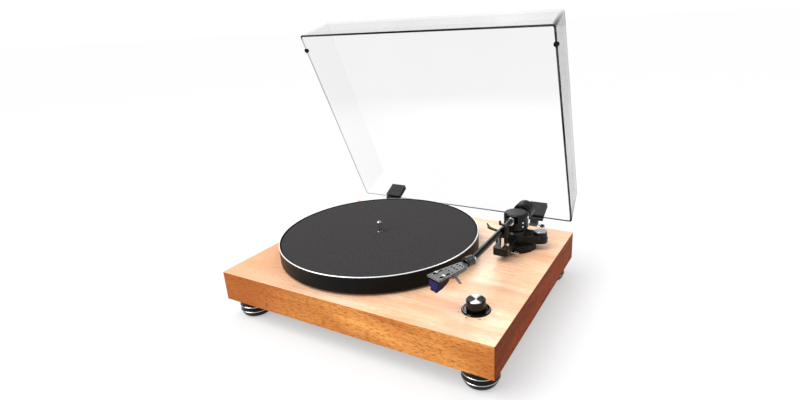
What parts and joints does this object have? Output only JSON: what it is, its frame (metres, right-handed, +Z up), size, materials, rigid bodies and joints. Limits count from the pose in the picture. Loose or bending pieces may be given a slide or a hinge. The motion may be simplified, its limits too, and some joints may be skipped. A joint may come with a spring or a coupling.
{
  "type": "turntable record player",
  "caption": "Belt-drive record player: veneered plinth on isolating feet, felt-topped platter, straight tonearm with counterweight, speed knob and clear hinged dust cover, open.",
  "frame": {"origin": "on the standing plane, under the middle of the plinth", "axes": "+X to the player's right, +Y to its back, +Z up"},
  "size_m": [0.416, 0.4068, 0.4017],
  "materials": {
    "wood_veneer": "satin open-grain veneer",
    "fibreboard": "painted board",
    "zinc_steel": "zinc plated",
    "black_plastic": "satin",
    "bright_ring": "turned",
    "rubber": "matte",
    "machined_steel": "turned",
    "bronze": "sintered",
    "cast_platter": "black coat, machined bright rim edge",
    "polished_steel": "polished",
    "felt": "felt",
    "motor_steel": "plain",
    "brass": "turned",
    "belt_rubber": "matte",
    "black_metal": "satin black coat",
    "black_gloss": "gloss",
    "spun_metal": "spun face",
    "panel_plastic": "fine texture",
    "gilt_metal": "plated",
    "board_green": "solder mask",
    "component_plastic": "mixed",
    "chrome": "polished",
    "dark_metal": "satin",
    "black_tube": "black anodised, glossy",
    "grey_metal": "satin anodised",
    "cartridge_black": "satin",
    "stylus_blue": "gloss",
    "lead_insulation": "four colours",
    "hinge_grey": "satin",
    "clear_acrylic": "clear polished"
  },
  "bodies": {
    "chassis": {"plinth": "wood_veneer", "bottom_cover": "fibreboard", "case_screws": "zinc_steel", "foot_bodies": "black_plastic", "foot_rings": "bright_ring", "foot_pads": "rubber", "bearing_housing": "machined_steel", "bearing_bushes": "bronze", "thrust_ball": "machined_steel", "motor_body": "motor_steel", "motor_grommets": "rubber", "drive_belt": "belt_rubber", "knob_bezel": "black_metal", "rotary_switch": "black_plastic", "back_panel": "panel_plastic", "signal_jacks": "gilt_metal", "socket_inserts": "black_plastic", "circuit_board": "board_green", "board_components": "component_plastic", "arm_base": "black_metal", "base_trim": "chrome", "arm_board": "black_plastic", "arm_posts": "chrome", "rest_cradle": "black_plastic", "arm_pins": "polished_steel", "hinge_brackets": "black_plastic", "hinge_pins": "chrome"},
    "platter": {"platter": "cast_platter", "spindle": "polished_steel", "mat": "felt"},
    "motor_rotor": {"motor_shaft": "polished_steel", "pulley": "brass"},
    "dust_cover": {"dust_cover": "clear_acrylic", "hinge_leaves": "hinge_grey", "clamp_screws": "zinc_steel", "lid_buffers": "rubber"},
    "arm_yoke": {"arm_housing": "black_metal", "arm_pivots": "polished_steel"},
    "arm": {"pivot_block": "black_metal", "arm_fittings": "chrome", "arm_tube": "black_tube", "headshell": "grey_metal", "finger_lift": "grey_metal", "cartridge_body": "cartridge_black", "stylus_holder": "stylus_blue", "cantilever": "grey_metal", "cartridge_screws": "polished_steel", "lead_wires": "lead_insulation"},
    "collar": {"locking_collar": "grey_metal"},
    "weight_carrier": {"weight_carrier": "brass"},
    "counterweight": {"counterweight": "black_metal"},
    "force_dial": {"force_dial": "black_plastic"},
    "rest_latch": {"rest_latch": "black_plastic"},
    "lift": {"lift_bar": "black_metal"},
    "cue_lever": {"cue_lever": "dark_metal"},
    "skate_dial": {"skate_dial": "black_gloss"},
    "speed_knob": {"knob": "black_gloss", "knob_cap": "spun_metal"},
    "level_slider": {"level_slider": "black_plastic"},
    "ground_nut": {"ground_nut": "brass"}
  },
  "joints": [
    {"name": "platter_spin", "type": "hinge", "parent": "chassis", "child": "platter", "pos_m": [-0.0435, -0.002, 0.08], "axis": [0, 0, 1], "continuous": true},
    {"name": "motor_spin", "type": "hinge", "parent": "chassis", "child": "motor_rotor", "pos_m": [-0.14344, 0.06798, 0.08], "axis": [0, 0, 1], "continuous": true},
    {"name": "lid_hinge", "type": "hinge", "parent": "chassis", "child": "dust_cover", "pos_m": [0, 0.1822, 0.0633], "axis": [-1, 0, 0], "range_deg": [-65.7, 0]},
    {"name": "arm_swing", "type": "hinge", "parent": "chassis", "child": "arm_yoke", "pos_m": [0.1428, 0.0834, 0.1], "axis": [0, 0, -1], "range_deg": [0, 45]},
    {"name": "arm_tilt", "type": "hinge", "parent": "arm_yoke", "child": "arm", "pos_m": [0.1428, 0.0834, 0.1185], "axis": [-1, 0, 0], "range_deg": [0, 2.5]},
    {"name": "collar_lock", "type": "hinge", "parent": "arm", "child": "collar", "pos_m": [0.1438, -0.072, 0.1185], "axis": [-0.3502, -0.9367, 0], "range_deg": [0, 75]},
    {"name": "weight_travel", "type": "slide", "parent": "arm", "child": "weight_carrier", "axis": [0, 1, 0], "range_m": [0, 0.006]},
    {"name": "weight_spin", "type": "hinge", "parent": "weight_carrier", "child": "counterweight", "pos_m": [0.1428, 0.118, 0.115], "axis": [0, 1, 0], "range_deg": [0, 720]},
    {"name": "force_dial_turn", "type": "hinge", "parent": "weight_carrier", "child": "force_dial", "pos_m": [0.1428, 0.107, 0.115], "axis": [0, 1, 0], "continuous": true},
    {"name": "latch_turn", "type": "hinge", "parent": "chassis", "child": "rest_latch", "pos_m": [0.1492, 0.026, 0.1252], "axis": [0, 1, 0], "range_deg": [0, 75]},
    {"name": "cue_turn", "type": "hinge", "parent": "chassis", "child": "cue_lever", "pos_m": [0.1343, 0.0526, 0.0964], "axis": [0, -1, 0], "range_deg": [0, 40]},
    {"name": "lift_travel", "type": "slide", "parent": "chassis", "child": "lift", "axis": [0, 0, -1], "range_m": [0, 0.0026]},
    {"name": "skate_turn", "type": "hinge", "parent": "chassis", "child": "skate_dial", "pos_m": [0.178, 0.09, 0.093], "axis": [0, 0, 1], "range_deg": [0, 270]},
    {"name": "speed_turn", "type": "hinge", "parent": "chassis", "child": "speed_knob", "pos_m": [0.161, -0.107, 0.08], "axis": [0, 0, 1], "range_deg": [-42, 42]},
    {"name": "slider_travel", "type": "slide", "parent": "chassis", "child": "level_slider", "axis": [1, 0, 0], "range_m": [0, 0.004]},
    {"name": "ground_nut_turn", "type": "hinge", "parent": "chassis", "child": "ground_nut", "pos_m": [-0.071, 0.17, 0.0465], "axis": [0, 1, 0], "continuous": true}
  ],
  "couplings": [
    {"joint": "motor_spin", "follows": "platter_spin", "ratio": 11.111},
    {"joint": "weight_travel", "follows": "weight_spin", "m_per_rad": 0.00047746},
    {"joint": "lift_travel", "follows": "cue_turn", "m_per_rad": 0.0037242}
  ]
}
